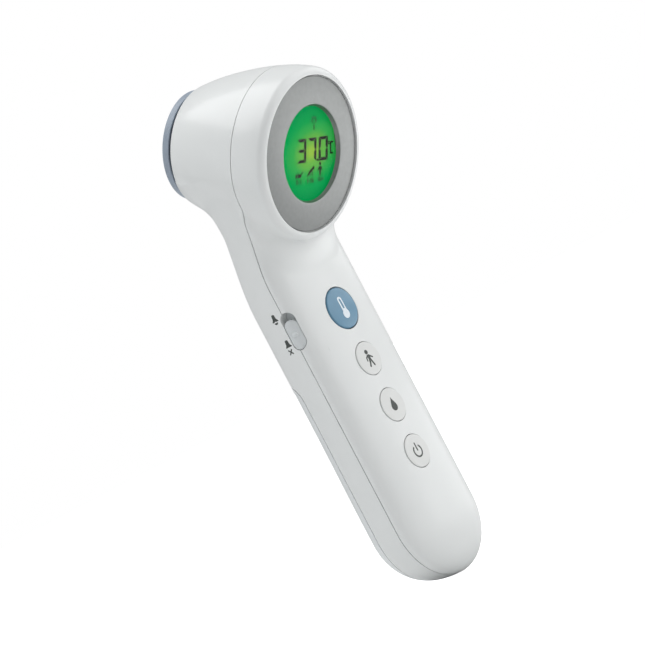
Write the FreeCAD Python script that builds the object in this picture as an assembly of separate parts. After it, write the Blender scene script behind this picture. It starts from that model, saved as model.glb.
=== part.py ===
import FreeCAD, Part
import math
import os
from FreeCAD import Vector as V, Placement, Rotation

os.makedirs("parts", exist_ok=True)

# ---------------------------------------------------------------------------
# Hand-held no-touch infrared thermometer.
# Frame: +Z up along the handle, -Y is the face with the buttons, +Y the way
# the sensor nose leans, +X to the right seen from the buttons. The origin is
# the middle of the grip, where a hand closes round it. Millimetres.
# ---------------------------------------------------------------------------

# handle section: a superellipse, flatter in front, deeper behind
HANDLE_HALF_W = 19.25      # half width
SECTION_Y = -5.7           # widest line of the section, also the parting plane
FRONT_DEPTH = 6.4          # from the widest line to the button face
BACK_DEPTH = 17.8          # from the widest line to the back
FRONT_EXP = 2.5
BACK_EXP = 2.6
TAIL_Z = -35.35            # centre of the rounded tail
STRAIGHT_TOP = 44.0        # the back starts to slim above this height
BACK_TABLE = [(44.0, 12.1), (48.0, 12.08), (52.0, 11.85), (56.0, 11.2),
              (62.8, 10.0), (70.0, 9.0), (76.0, 8.4), (90.0, 7.6)]
LOFT_HEIGHTS = [44, 46, 49, 52, 56, 62, 70, 78, 88]

# head: a body of revolution about an axis tilted up from +Y
HEAD_TILT = 26.6           # degrees
HEAD_CENTRE = V(0, -29.7, 78.4)   # centre of the display face
HEAD_PROFILE = [(2.6, 26.5), (4.5, 26.66), (8.0, 26.5), (11.8, 26.15),
                (16.0, 25.57), (21.0, 24.59), (26.0, 23.36), (31.0, 21.79),
                (36.0, 20.02), (40.5, 17.86)]    # depth, radius
FACE_FLAT_R = 24.3
NOSE_DEPTH = 40.5
NECK_FILLET = 7.0

# shells
WALL = 2.0
SEAM = 0.1                 # half of the parting gap
PART_DEPTH = 11.8          # parting plane in the head, behind the face
LIP_DEPTH = 2.85           # inside of the face's ledge

# display
BEZEL_R = 23.7
BEZEL_SEAT_R = 23.9
BEZEL_T = 1.3
GLASS_R = 14.6
WINDOW_R = 20.0
LCD_HALF = 15.5
LEDGE_R = 22.3

# nose
RING_R = 16.8
RING_BACK = 41.1
RING_FRONT = 44.1
RING_ROUND = 0.9
NOSE_BORE_R = 15.86
CONE_MOUTH_R = 12.0
CONE_FLOOR_R = 6.2
CONE_FLOOR = 36.8

# buttons: centre heights, radii
MEASURE_Z, MEASURE_R, MEASURE_PROUD = 33.05, 6.8, 0.8
SMALL_R, SMALL_PROUD = 5.4, 0.3
AGE_Z, OBJECT_Z, POWER_Z = 15.8, 0.0, -15.8
BUTTON_GAP = 0.15
FLANGE_EXTRA = 1.0
FLANGE_Y0, FLANGE_Y1 = -9.75, -9.1
SWITCH_TOP = -8.5
BUTTON_TRAVEL = 0.5

# sound slider on the -X side
SLOT_Z0, SLOT_Z1, SLOT_Y, SLOT_W = 27.4, 39.8, -6.5, 5.1
SLIDER_LEN, SLIDER_W, SLIDER_TRAVEL = 9.8, 4.9, 2.3

# battery bay
CELL_R, CELL_X, CELL_Y = 6.95, 7.2, 2.2
CELL_CAN = 49.5
BAY_Z0, BAY_Z1 = -42.3, 13.7
DOOR_Y = 3.7               # side seam of the door
DOOR_TOP = 19.0
DOOR_CORNER = 6.0
DOOR_WALL = 1.5

# main board
BOARD_Y0, BOARD_Y1 = -6.9, -5.9
BOARD_HALF_W = 15.0
BOARD_Z0, BOARD_Z1 = -42.0, 48.0

T = math.radians(HEAD_TILT)
SN, CS = math.sin(T), math.cos(T)
H_AXIS = V(0, CS, SN)
HEAD_PL = Placement(HEAD_CENTRE, Rotation(V(1, 0, 0), 90 + HEAD_TILT))


def lerp(tab, z):
    if z <= tab[0][0]:
        return tab[0][1]
    for (z0, v0), (z1, v1) in zip(tab, tab[1:]):
        if z <= z1:
            return v0 + (v1 - v0) * (z - z0) / (z1 - z0)
    return tab[-1][1]


def save(name, shape):
    """One STEP file per piece."""
    solids = shape.Solids
    if len(solids) == 1:
        shape = solids[0]
    else:
        shape = Part.makeCompound(solids)
    shape.exportStep("parts/%s.step" % name)
    b = shape.BoundBox
    print("%-22s solids %d valid %s vol %9.2f  x %.2f %.2f y %.2f %.2f z %.2f %.2f" % (
        name, len(solids), shape.isValid(), shape.Volume,
        b.XMin, b.XMax, b.YMin, b.YMax, b.ZMin, b.ZMax))
    return shape


# --- helpers in the handle's frame
def box(x0, x1, y0, y1, z0, z1):
    return Part.makeBox(x1 - x0, y1 - y0, z1 - z0, V(x0, y0, z0))


def ycyl(r, x, z, y0, y1):
    return Part.makeCylinder(r, y1 - y0, V(x, y0, z), V(0, 1, 0))


def zcyl(r, x, y, z0, z1):
    return Part.makeCylinder(r, z1 - z0, V(x, y, z0), V(0, 0, 1))


def yz_prism(pts, x0, x1):
    """A closed outline in the YZ plane, carried from x0 to x1."""
    w = Part.makePolygon([V(x0, y, z) for y, z in pts + pts[:1]])
    return Part.Face(w).extrude(V(x1 - x0, 0, 0))


def ribbon(path, t, x0, x1):
    """A flat cable of thickness t along a YZ path."""
    left, right = [], []
    n = len(path)
    for i in range(n):
        a = path[max(i - 1, 0)]
        b = path[min(i + 1, n - 1)]
        dy, dz = b[0] - a[0], b[1] - a[1]
        ln = math.hypot(dy, dz)
        ny, nz = -dz / ln * t / 2, dy / ln * t / 2
        left.append((path[i][0] + ny, path[i][1] + nz))
        right.append((path[i][0] - ny, path[i][1] - nz))
    return yz_prism(left + right[::-1], x0, x1)


# --- helpers in the head's frame: x, e (up the face), depth behind the face
def placed(s):
    s.Placement = HEAD_PL.multiply(s.Placement)
    return s


def hcyl(r, d0, d1, x=0.0, e=0.0):
    return placed(Part.makeCylinder(r, d1 - d0, V(x, e, -d1), V(0, 0, 1)))


def hbox(x0, x1, e0, e1, d0, d1):
    return placed(Part.makeBox(x1 - x0, e1 - e0, d1 - d0, V(x0, e0, -d1)))


def hrev(pts):
    """A ring or disc turned about the head's axis from (radius, depth) points."""
    w = Part.makePolygon([V(r, 0, -d) for r, d in pts + pts[:1]])
    return placed(Part.Face(w).revolve(V(0, 0, 0), V(0, 0, 1), 360))


def hpoint(x, e, d):
    return HEAD_PL.multVec(V(x, e, -d))


# --- the outside form, and the same form shrunk by d
def head_body(d, face=None):
    face = d if face is None else face
    zf = max(2.6, face + 1.45)
    prof = [(z, r) for z, r in HEAD_PROFILE if z > zf + 0.4]
    rf = lerp(HEAD_PROFILE, zf) - d
    pts = [V(rf, 0, -zf)] + [V(r - d, 0, -z) for z, r in prof[:-1]]
    end_r = HEAD_PROFILE[-1][1] - d + d * 0.47
    pts.append(V(end_r, 0, -(NOSE_DEPTH - d)))
    side = Part.BSplineCurve()
    side.interpolate(Points=pts)
    r0 = FACE_FLAT_R - 0.6 * d
    arc = []
    for i in range(9):
        a = math.pi / 2 * i / 8
        arc.append(V(r0 + (rf - r0) * math.sin(a), 0,
                     -(zf - (zf - face) * math.cos(a))))
    edge = Part.BSplineCurve()
    edge.interpolate(Points=arc, InitialTangent=V(1, 0, 0), FinalTangent=V(0, 0, -1))
    end = pts[-1]
    lines = [Part.LineSegment(V(0, 0, -face), arc[0]).toShape(), edge.toShape(),
             side.toShape(), Part.LineSegment(end, V(0, 0, end.z)).toShape(),
             Part.LineSegment(V(0, 0, end.z), V(0, 0, -face)).toShape()]
    f = Part.Face(Part.Wire(lines))
    return placed(f.revolve(V(0, 0, 0), V(0, 0, 1), 360))


def section_points(z, d, n=14):
    """Right half of the section, from the middle of the back to the middle of the front."""
    a = HANDLE_HALF_W - d
    bf = FRONT_DEPTH - d
    bb = lerp(BACK_TABLE, z) - SECTION_Y - d
    ts = [math.pi / 2 * i / n for i in range(n + 1)]
    half = []
    for t in ts:
        half.append(V(a * math.sin(t) ** (2 / BACK_EXP),
                      SECTION_Y + bb * math.cos(t) ** (2 / BACK_EXP), z))
    for t in ts[::-1][1:]:
        half.append(V(a * math.sin(t) ** (2 / FRONT_EXP),
                      SECTION_Y - bf * math.cos(t) ** (2 / FRONT_EXP), z))
    return half


def half_curve(z, d):
    c = Part.BSplineCurve()
    c.interpolate(Points=section_points(z, d), InitialTangent=V(1, 0, 0), FinalTangent=V(-1, 0, 0))
    return c.toShape()


def section_wire(z, d):
    right = half_curve(z, d)
    return Part.Wire([right, right.mirror(V(0, 0, 0), V(1, 0, 0))])


def handle_body(d):
    straight = Part.Face(section_wire(TAIL_Z, d)).extrude(V(0, 0, STRAIGHT_TOP - TAIL_Z))
    upper = Part.makeLoft([section_wire(z, d) for z in LOFT_HEIGHTS], True, False)
    right = half_curve(TAIL_Z, d)
    p = section_points(TAIL_Z, d)
    f = Part.Face(Part.Wire([right, Part.LineSegment(p[-1], p[0]).toShape()]))
    tail = f.revolve(V(0, 0, TAIL_Z), V(0, 1, 0), 180)
    if tail.BoundBox.ZMin > TAIL_Z - 5:
        tail = f.revolve(V(0, 0, TAIL_Z), V(0, 1, 0), -180)
    return straight.fuse([upper, tail])


def form(d, face=None, fillet=0.0):
    s = handle_body(d).fuse(head_body(d, face)).Solids[0]
    if fillet:
        chosen = []
        for e in s.Edges:
            b = e.BoundBox
            if b.ZMin < 50 or b.YMax < -17 or b.ZMax > 79 or e.Length < 25:
                continue
            m = e.valueAt((e.FirstParameter + e.LastParameter) / 2)
            if abs(m.x) < 20.5:
                chosen.append(e)
        s = s.makeFillet(fillet, chosen)
        s = s.Solids[0] if s.Solids else s
    return s


OUTER = form(0.0, fillet=NECK_FILLET)
INNER = form(WALL, face=LIP_DEPTH)
print("outer", OUTER.isValid(), OUTER.Volume, "inner", INNER.isValid(), INNER.Volume)

HANDLE_OUT = handle_body(0.0)
HANDLE_15 = handle_body(DOOR_WALL)
HANDLE_23 = handle_body(2.3)


# --- parting surface: flat along the handle, flat across the head, one bend
def parting(offset):
    base = hpoint(0, 0, PART_DEPTH)
    turn_z = base.z + (base.y - SECTION_Y) / SN * CS
    corner = (SECTION_Y, turn_z)
    tl = 10.0
    n = 10
    p0 = (SECTION_Y, turn_z - tl)
    p2 = (corner[0] - SN * tl, corner[1] + CS * tl)
    pts = [(SECTION_Y, -80.0), p0]
    for i in range(1, n):
        t = i / n
        y = (1 - t) ** 2 * p0[0] + 2 * t * (1 - t) * corner[0] + t * t * p2[0]
        z = (1 - t) ** 2 * p0[1] + 2 * t * (1 - t) * corner[1] + t * t * p2[1]
        pts.append((y, z))
    pts.append(p2)
    pts.append((corner[0] - SN * 75, corner[1] + CS * 75))
    return [(y + offset, z) for y, z in pts]


FRONT_SIDE = yz_prism(parting(-SEAM) + [(-90.0, 124.0), (-90.0, -80.0)], -40, 40)
REAR_SIDE = yz_prism(parting(SEAM) + [(60.0, 124.0), (60.0, -80.0)], -40, 40)


# --- battery door outline seen from the side
def door_zone(offset):
    y0, zt, r = DOOR_Y + offset, DOOR_TOP - offset, DOOR_CORNER
    pts = [(y0, -80.0), (y0, zt - r)]
    for i in range(1, 9):
        a = math.pi / 2 * i / 9
        pts.append((y0 + r - r * math.cos(a), zt - r + r * math.sin(a)))
    pts += [(y0 + r, zt), (30.0, zt), (30.0, -80.0)]
    return yz_prism(pts, -40, 40)


# --- the sound slider's slot, a stadium through the side wall
def stadium(z0, z1, w, y, x0, x1):
    r = w / 2
    s = box(x0, x1, y - r, y + r, z0 + r, z1 - r)
    for z in (z0 + r, z1 - r):
        s = s.fuse(Part.makeCylinder(r, x1 - x0, V(x0, y, z), V(1, 0, 0)))
    return s.removeSplitter()


SLOT = stadium(SLOT_Z0, SLOT_Z1, SLOT_W, SLOT_Y, -21, -14)
POCKET = box(-16.0, -13.5, -9.7, -3.3, 25.1, 44.2)

UPPER_SCREWS = [(-11.0, 24.0), (11.0, 24.0)]
LOWER_SCREWS = [(-9.5, -46.6), (9.5, -46.6)]
BOARD_SCREWS = [(-12.0, 44.0), (12.0, 44.0)]
DISPLAY_SCREWS = [(-20.5, 0.0), (20.5, 0.0), (0.0, 20.5)]

# --- front shell: button face, display bowl
front = OUTER.common(FRONT_SIDE).cut(INNER)
front = front.cut(hcyl(BEZEL_SEAT_R, -2, BEZEL_T + 0.05))
front = front.cut(hcyl(LEDGE_R, 1, LIP_DEPTH + 0.5))
adds = []
for x, z in UPPER_SCREWS:
    adds.append(ycyl(2.3, x, z, -11.0, BOARD_Y0 - 0.05))
for x, z in LOWER_SCREWS:
    adds.append(ycyl(2.4, x, z, -9.6, -5.0))
for x, z in BOARD_SCREWS:
    adds.append(ycyl(2.2, x, z, -9.9, BOARD_Y0 - 0.05))
for x, e in DISPLAY_SCREWS:
    adds.append(hcyl(2.3, 2.6, 7.95, x, e))
    if x:
        adds.append(hbox(min(x, x / abs(x) * 25.2), max(x, x / abs(x) * 25.2), -1, 1, 2.4, 7.9))
    else:
        adds.append(hbox(-1, 1, e, 25.2, 2.4, 7.9))
front = front.fuse([a.common(OUTER) for a in adds])
cuts = [ycyl(MEASURE_R + BUTTON_GAP, 0, MEASURE_Z, -14, -9)]
for z in (AGE_Z, OBJECT_Z, POWER_Z):
    cuts.append(ycyl(SMALL_R + BUTTON_GAP, 0, z, -14, -9))
for x, z in UPPER_SCREWS + LOWER_SCREWS:
    cuts.append(ycyl(1.05, x, z, -9.4, -4.0))
for x, z in BOARD_SCREWS:
    cuts.append(ycyl(0.85, x, z, -9.4, -6.0))
for x, e in DISPLAY_SCREWS:
    cuts.append(hcyl(0.85, 3.6, 8.5, x, e))
cuts += [SLOT, POCKET]
for c in cuts:
    front = front.cut(c)
front_shell = save("front_shell", front)

# --- rear shell: back of the grip round the battery bay, and the nose
rear = OUTER.common(REAR_SIDE).cut(INNER)
rear = rear.cut(hcyl(NOSE_BORE_R, 36, 45))
adds = []
for x, z in UPPER_SCREWS:
    adds.append(ycyl(2.9, x, z, BOARD_Y1 + 0.05, 14))
for x, z in LOWER_SCREWS:
    adds.append(ycyl(2.6, x, z, -4.9, 2.6))
rear = rear.fuse([a.common(OUTER) for a in adds])
rear = rear.cut(door_zone(-SEAM))
for x, z in UPPER_SCREWS:
    rear = rear.cut(ycyl(2.2, x, z, -2.8, 14))
    rear = rear.cut(ycyl(1.15, x, z, -7, 0))
for x, z in LOWER_SCREWS:
    rear = rear.cut(ycyl(2.1, x, z, 0.2, 6))
    rear = rear.cut(ycyl(1.15, x, z, -6, 1))
rear = rear.cut(SLOT).cut(POCKET)
rear_shell = save("rear_shell", rear)

# --- battery door, slides down off the tail
door = HANDLE_OUT.common(door_zone(SEAM)).cut(HANDLE_15)
door = door.fuse(box(-3.5, 3.5, 8.75, 11.2, 16.2, 18.4))
door = door.fuse(box(-3.5, 3.5, 8.75, 9.65, 16.2, 21.5))
door = save("battery_door", door)

# --- display stack
bezel = hcyl(BEZEL_R, 0.0, BEZEL_T).cut(hcyl(GLASS_R, -1, 3))
rim = [e for e in bezel.Edges if abs(HEAD_PL.inverse().multVec(e.valueAt(e.FirstParameter)).z) < 0.01
       and e.Length > 10]
bezel = bezel.makeFillet(0.25, rim)
save("display_bezel", bezel)
save("display_window", hcyl(WINDOW_R, BEZEL_T + 0.05, 2.15))
L = LCD_HALF
save("lcd_panel", hbox(-L, L, -L, L, 2.2, 4.2))
save("light_guide", hbox(-L, L, -L, L, 4.3, 6.8))
frame_b = hbox(-17, 17, -17, 17, 2.95, 7.9).cut(hbox(-15.65, 15.65, -15.65, 15.65, 2, 9))
leds = []
for x in (-8.5, 0.0, 8.5):
    frame_b = frame_b.cut(hbox(x - 1.7, x + 1.7, 15, 18, 6.0, 8.5))
    leds.append(hbox(x - 1.5, x + 1.5, 15.6, 16.9, 6.2, 7.98))
save("lcd_frame", frame_b.common(hcyl(22.8, 2, 9)))
save("backlight_leds", Part.makeCompound(leds))
dboard = hcyl(23.4, 8.0, 9.2)
for x, e in DISPLAY_SCREWS:
    dboard = dboard.cut(hcyl(1.1, 7, 10, x, e))
save("display_board", dboard)
chip = [hbox(-5, 5, -5, 5, 9.2, 10.6), hbox(8, 11, 5, 7, 9.2, 10.0), hbox(8, 11, 0, 2, 9.2, 10.0),
        hbox(-11.5, -8, -8, -6, 9.2, 10.2)]
save("display_driver", Part.makeCompound(chip))

# --- nose: ring, gasket, reflecting cone, thermopile and its holder
pts = [(13.0, RING_FRONT), (RING_R - RING_ROUND, RING_FRONT)]
for i in range(1, 9):
    a = math.pi / 2 * i / 8
    pts.append((RING_R - RING_ROUND + RING_ROUND * math.sin(a),
                RING_FRONT - RING_ROUND + RING_ROUND * math.cos(a)))
pts += [(RING_R, RING_BACK), (15.6, RING_BACK), (15.6, 38.6), (14.0, 38.6), (14.0, 42.5), (13.0, 42.9)]
save("nose_ring", hrev(pts))
save("nose_gasket", hrev([(15.65, 40.55), (16.3, 40.55), (16.3, 41.05), (15.65, 41.05)]))
k = (CONE_MOUTH_R - CONE_FLOOR_R) / (43.9 - CONE_FLOOR)
cone = hrev([(CONE_MOUTH_R, 43.9), (CONE_MOUTH_R + 0.9, 43.9), (CONE_FLOOR_R + 0.9, CONE_FLOOR),
             (CONE_FLOOR_R + 0.9, 36.0), (2.9, 36.0), (2.9, CONE_FLOOR), (CONE_FLOOR_R, CONE_FLOOR)])
cone = cone.cut(hcyl(1.15, 35, 38, 0, 4.6))
save("sensor_cone", cone)
save("sensor_holder", hrev([(8.7, 38.4), (16.3, 38.4), (16.3, 36.9), (9.4, 36.9), (9.4, 30.0),
                            (5.0, 30.0), (5.0, 31.2), (7.4, 31.2), (7.4, 35.9), (8.7, 36.9)]))
save("thermopile", hrev([(0, 31.3), (4.9, 31.3), (4.9, 31.9), (4.5, 31.9), (4.5, 35.6),
                         (4.2, 35.9), (0, 35.9)]))
save("infrared_filter", hcyl(2.7, 35.95, 36.3))
save("guide_light_lens", hcyl(1.1, 35.95, 36.9, 0, 4.6))
save("sensor_board", hcyl(13.0, 28.3, 29.5).cut(hcyl(2.0, 27, 30, 0, 8)))

# --- buttons, each a cap and the plunger of the switch under it
def button_cap(r, z, top_y, crown, edge):
    """A turned cap with a slightly crowned top, a rounded rim and a flange behind the wall."""
    f = r + FLANGE_EXTRA
    pts = [V(0, 0, -top_y)]
    for i in range(1, 7):
        q = (r - edge) * i / 6
        pts.append(V(q, 0, -top_y - crown * (q / r) ** 2))
    base = pts[-1].z
    for i in range(1, 7):
        a = math.pi / 2 * i / 6
        pts.append(V(r - edge + edge * math.sin(a), 0, base - edge * (1 - math.cos(a))))
    pts += [V(r, 0, -FLANGE_Y0), V(f, 0, -FLANGE_Y0), V(f, 0, -FLANGE_Y1), V(0, 0, -FLANGE_Y1)]
    solid = Part.Face(Part.makePolygon(pts + pts[:1])).revolve(V(0, 0, 0), V(0, 0, 1), 360)
    solid.Placement = Placement(V(0, 0, z), Rotation(V(1, 0, 0), 90))
    return solid


FACE_Y = SECTION_Y - FRONT_DEPTH
for name, z, r, proud, crown, edge in (("measure", MEASURE_Z, MEASURE_R, MEASURE_PROUD, 0.4, 0.45),
                                       ("age", AGE_Z, SMALL_R, SMALL_PROUD, 0.1, 0.2),
                                       ("object", OBJECT_Z, SMALL_R, SMALL_PROUD, 0.1, 0.2),
                                       ("power", POWER_Z, SMALL_R, SMALL_PROUD, 0.1, 0.2)):
    save(name + "_button", button_cap(r, z, FACE_Y - proud, crown, edge))
    save(name + "_plunger", ycyl(1.6, 0, z, FLANGE_Y1, -7.6))
bodies = []
for z in (MEASURE_Z, AGE_Z, OBJECT_Z, POWER_Z):
    bodies.append(box(-3, 3, SWITCH_TOP, BOARD_Y0, z - 3, z + 3).cut(ycyl(1.9, 0, z, -9, -6)))
save("tact_switches", Part.makeCompound(bodies))

# --- sound slider and its switch
z0 = SLOT_Z0 + 0.1
slider = stadium(z0, z0 + SLIDER_LEN, SLIDER_W, SLOT_Y, -21, -15.9)
skin = handle_body(0.12)
slider = slider.common(skin)
mid = z0 + SLIDER_LEN / 2
ridge = Part.makeCylinder(1.0, 3.4, V(-18.3, SLOT_Y - 1.7, mid), V(0, 1, 0))
ridge.rotate(V(-18.3, SLOT_Y, mid), V(0, 0, 1), 13)
slider = slider.fuse(ridge)
slider = slider.fuse(box(-15.95, -15.2, -9.5, -3.5, 25.3, 41.6))
save("mute_slider", slider)
save("slide_switch_lever", box(-15.2, -13.0, -7.95, -7.25, 31.3, 33.3))
sw = box(-14.8, -10.8, -8.25, BOARD_Y0, 29.5, 38.5).cut(box(-15, -12.8, -8.05, -7.15, 31.0, 36.0))
save("slide_switch", sw)

# --- main board and what sits on it
mb = box(-BOARD_HALF_W, BOARD_HALF_W, BOARD_Y0, BOARD_Y1, BOARD_Z0, BOARD_Z1)
mb = mb.makeFillet(3.0, [e for e in mb.Edges if abs(e.BoundBox.YLength - 1.0) < 0.01])
for x, z in BOARD_SCREWS:
    mb = mb.cut(ycyl(1.1, x, z, -8, -5))
for x, z in UPPER_SCREWS:
    mb = mb.cut(ycyl(1.3, x, z, -8, -5))
save("main_board", mb)
save("buzzer", ycyl(6.0, 0, -32.0, -9.4, BOARD_Y0).cut(ycyl(0.9, 0, -32.0, -10, -8.4)))
save("controller_chip", box(6.0, 13.0, -8.1, BOARD_Y0, 4.3, 11.3))
small = [box(8.5, 11.5, -7.8, BOARD_Y0, 14.2, 15.8), box(8.5, 11.5, -7.8, BOARD_Y0, -1.0, 0.6),
         box(-12, -9.5, -8.0, BOARD_Y0, 5.0, 9.0), box(-12, -9.5, -7.9, BOARD_Y0, -6.0, -2.5),
         ycyl(1.9, 9.8, -9.0, -8.8, BOARD_Y0), ycyl(1.9, -9.8, -14.0, -8.8, BOARD_Y0)]
save("board_components", Part.makeCompound(small))

# --- battery tray, cells, springs and plates
tray = box(-15.2, 15.2, -5.8, -4.9, -43.5, 14.9)
tray = tray.fuse([box(-15.2, -14.4, -5.8, 1.5, -43.5, 14.9), box(14.4, 15.2, -5.8, 1.5, -43.5, 14.9),
                  box(-15.2, 15.2, -5.8, 4.5, -43.5, -42.7), box(-15.2, 15.2, -5.8, 4.5, 14.1, 14.9)])
tray = tray.common(HANDLE_23)
for x, z in LOWER_SCREWS:
    tray = tray.cut(ycyl(3.0, x, z, -8, 6))
save("battery_tray", tray)
za = BAY_Z0 + 3.0
cell_a = zcyl(CELL_R, -CELL_X, CELL_Y, za, za + CELL_CAN)
cell_a = cell_a.fuse(zcyl(2.6, -CELL_X, CELL_Y, za + CELL_CAN, za + CELL_CAN + 1.0))
zb = BAY_Z0 + 2.5 + 1.0
cell_b = zcyl(CELL_R, CELL_X, CELL_Y, zb, zb + CELL_CAN)
cell_b = cell_b.fuse(zcyl(2.6, CELL_X, CELL_Y, zb - 1.0, zb))
save("aa_cells", Part.makeCompound([cell_a, cell_b]))


def spring(x, z0, z1, wide_at_top):
    """A short conical contact spring, closed at both ends."""
    wire_r = 0.35
    n, per = 3, 24
    rows = []
    for i in range(n * per + 1):
        t = i / (n * per)
        r = 3.0 + 2.2 * (t if wide_at_top else 1 - t)
        a = 2 * math.pi * n * t
        rows.append(V(x + r * math.cos(a), CELL_Y + r * math.sin(a),
                      z0 + wire_r + 0.02 + (z1 - z0 - 2 * wire_r - 0.04) * t))
    c = Part.BSplineCurve()
    c.interpolate(Points=rows)
    path = Part.Wire([c.toShape()])
    tan = c.tangent(c.FirstParameter)[0]
    ring = Part.Wire([Part.makeCircle(wire_r, rows[0], tan)])
    pipe = Part.BRepOffsetAPI.MakePipeShell(path)
    pipe.setFrenetMode(True)
    pipe.add(ring)
    pipe.build()
    pipe.makeSolid()
    return pipe.shape()


save("contact_springs", Part.makeCompound([
    spring(-CELL_X, BAY_Z0, za, False), spring(CELL_X, zb + CELL_CAN, BAY_Z1, True)]))
p1 = box(-13.8, -0.6, -4.5, 4.3, BAY_Z1, BAY_Z1 + 0.3).fuse(
    zcyl(2.0, -CELL_X, CELL_Y, za + CELL_CAN + 1.02, BAY_Z1))
p2 = box(0.6, 13.8, -4.5, 4.3, BAY_Z1, BAY_Z1 + 0.3)
p3 = box(-12.0, 12.0, -4.5, 4.0, BAY_Z0 - 0.35, BAY_Z0).fuse(
    zcyl(2.0, CELL_X, CELL_Y, BAY_Z0, zb - 1.02))
save("contact_plates", Part.makeCompound([p1, p2, p3.common(HANDLE_23)]))


# --- screws
def y_screw(x, z, y_head, length, head_r=2.0, head_t=1.5, r=1.0):
    s = ycyl(head_r, x, z, y_head, y_head + head_t).fuse(ycyl(r, x, z, y_head - length, y_head))
    d = box(x - 1.2, x + 1.2, y_head + head_t - 0.8, y_head + head_t + 1, z - 0.25, z + 0.25)
    e = box(x - 0.25, x + 0.25, y_head + head_t - 0.8, y_head + head_t + 1, z - 1.2, z + 1.2)
    return s.cut(d).cut(e)


hs = [y_screw(x, z, -2.8, 6.2) for x, z in UPPER_SCREWS]
hs += [y_screw(x, z, 0.2, 8.8) for x, z in LOWER_SCREWS]
save("housing_screws", Part.makeCompound(hs))
bs = [y_screw(x, z, BOARD_Y1, 3.2, 1.8, 0.9, 0.8) for x, z in BOARD_SCREWS]
for x, e in DISPLAY_SCREWS:
    bs.append(hcyl(1.8, 9.2, 10.4, x, e).fuse(hcyl(0.8, 4.4, 9.2, x, e)).cut(
        hbox(x - 1.2, x + 1.2, e - 0.25, e + 0.25, 9.9, 11)))
save("board_screws", Part.makeCompound(bs))

# --- flat cables
a = hpoint(0, -19.0, 9.4)
b = hpoint(0, -14.0, 9.4)
save("display_flex", ribbon([(BOARD_Y1 + 0.15, 41.0), (BOARD_Y1 + 0.15, 49.5), (-6.0, 53.0),
                             (-6.6, 57.0), (-7.6, 60.5), (-9.2, 63.4), (a.y, a.z), (b.y, b.z)], 0.25, -5.5, 5.5))
a = hpoint(0, -12.5, 9.4)
b = hpoint(0, -8.0, 9.35)
c = hpoint(0, -8.0, 28.15)
d = hpoint(0, -12.0, 28.1)
e = hpoint(0, -14.5, 13.5)
f = hpoint(0, -14.5, 24.0)
save("sensor_flex", ribbon([(b.y, b.z), (a.y, a.z), (e.y, e.z), (f.y, f.z), (d.y, d.z),
                            (c.y, c.z)], 0.25, 6.5, 10.5))
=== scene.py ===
import math
import bmesh
import bpy
import numpy as np
from mathutils import Matrix, Vector
from mathutils.geometry import tessellate_polygon


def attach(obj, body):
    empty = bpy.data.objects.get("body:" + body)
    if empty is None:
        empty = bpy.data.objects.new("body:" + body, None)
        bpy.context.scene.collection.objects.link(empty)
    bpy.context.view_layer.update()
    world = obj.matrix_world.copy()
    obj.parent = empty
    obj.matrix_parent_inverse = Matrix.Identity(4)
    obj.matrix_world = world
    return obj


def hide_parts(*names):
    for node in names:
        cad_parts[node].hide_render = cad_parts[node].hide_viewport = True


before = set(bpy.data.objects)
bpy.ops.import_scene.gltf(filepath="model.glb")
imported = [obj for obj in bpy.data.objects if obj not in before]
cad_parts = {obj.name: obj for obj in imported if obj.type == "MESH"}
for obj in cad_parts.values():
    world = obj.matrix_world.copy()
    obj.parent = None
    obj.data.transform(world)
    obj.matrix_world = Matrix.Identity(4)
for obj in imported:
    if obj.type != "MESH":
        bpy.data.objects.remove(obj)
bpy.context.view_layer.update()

STEP = 0.55      # mesh size of the moulded form, mm
MM = 0.001

# ---------------------------------------------------------------- dimensions, mm
HALF_W, SECTION_Y, FRONT_D, BACK_D = 19.25, -5.7, 6.4, 17.8
FRONT_N, BACK_N = 2.5, 2.6
TAIL_Z = -35.35
TILT = math.radians(26.6)
SN, CS = math.sin(TILT), math.cos(TILT)
D0 = np.array([0.0, -29.7, 78.4])
HEAD_POLY = [-10.7094, 22.7991, -25.8186, 5.5886, 26.27]
NOSE = 40.5
SEAM = 0.155
WALL = 2.0

HEAD = Matrix(((1, 0, 0, D0[0]), (0, -SN, -CS, D0[1]), (0, CS, -SN, D0[2]), (0, 0, 0, 1)))
FRONT = Matrix(((1, 0, 0, 0), (0, 0, -1, 0), (0, 1, 0, 0), (0, 0, 0, 1)))   # u = x, v = z, out = -y


# ---------------------------------------------------------------- the moulded form as a field
def smooth(t):
    t = np.clip(t, 0.0, 1.0)
    return t * t * (3 - 2 * t)


def f_handle(x, y, z, d):
    q = np.hypot(x, np.minimum(z - TAIL_Z, 0.0))
    v = y - SECTION_Y
    front = v < 0
    bb = BACK_D + 0.4 * smooth((5.0 - z) / 35.0) - 6.6 * smooth((z - 42.0) / 38.0) - d
    b = np.where(front, FRONT_D - d, bb)
    n = np.where(front, FRONT_N, BACK_N)
    a = HALF_W - d
    u = q / a
    w = np.abs(v) / b
    s = np.maximum(u ** n + w ** n, 1e-9)
    g = s ** (1.0 / n)
    gx = g ** (1 - n) * u ** (n - 1) / a
    gy = g ** (1 - n) * w ** (n - 1) / b
    f = (g - 1.0) / np.sqrt(gx * gx + gy * gy + 1e-12)
    f = np.maximum(f, -b)
    return np.maximum(f, z - 84.0)


def head_coords(x, y, z):
    dy, dz = y - D0[1], z - D0[2]
    depth = dy * CS + dz * SN
    e = -dy * SN + dz * CS
    return np.hypot(x, e), depth


def head_radius(depth):
    return np.polyval(HEAD_POLY, np.clip(depth / 40.0, 0.0, 1.1))


def round_and(a, b, r):
    return np.minimum(-r, np.maximum(a, b)) + np.hypot(np.maximum(r + a, 0), np.maximum(r + b, 0))


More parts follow.
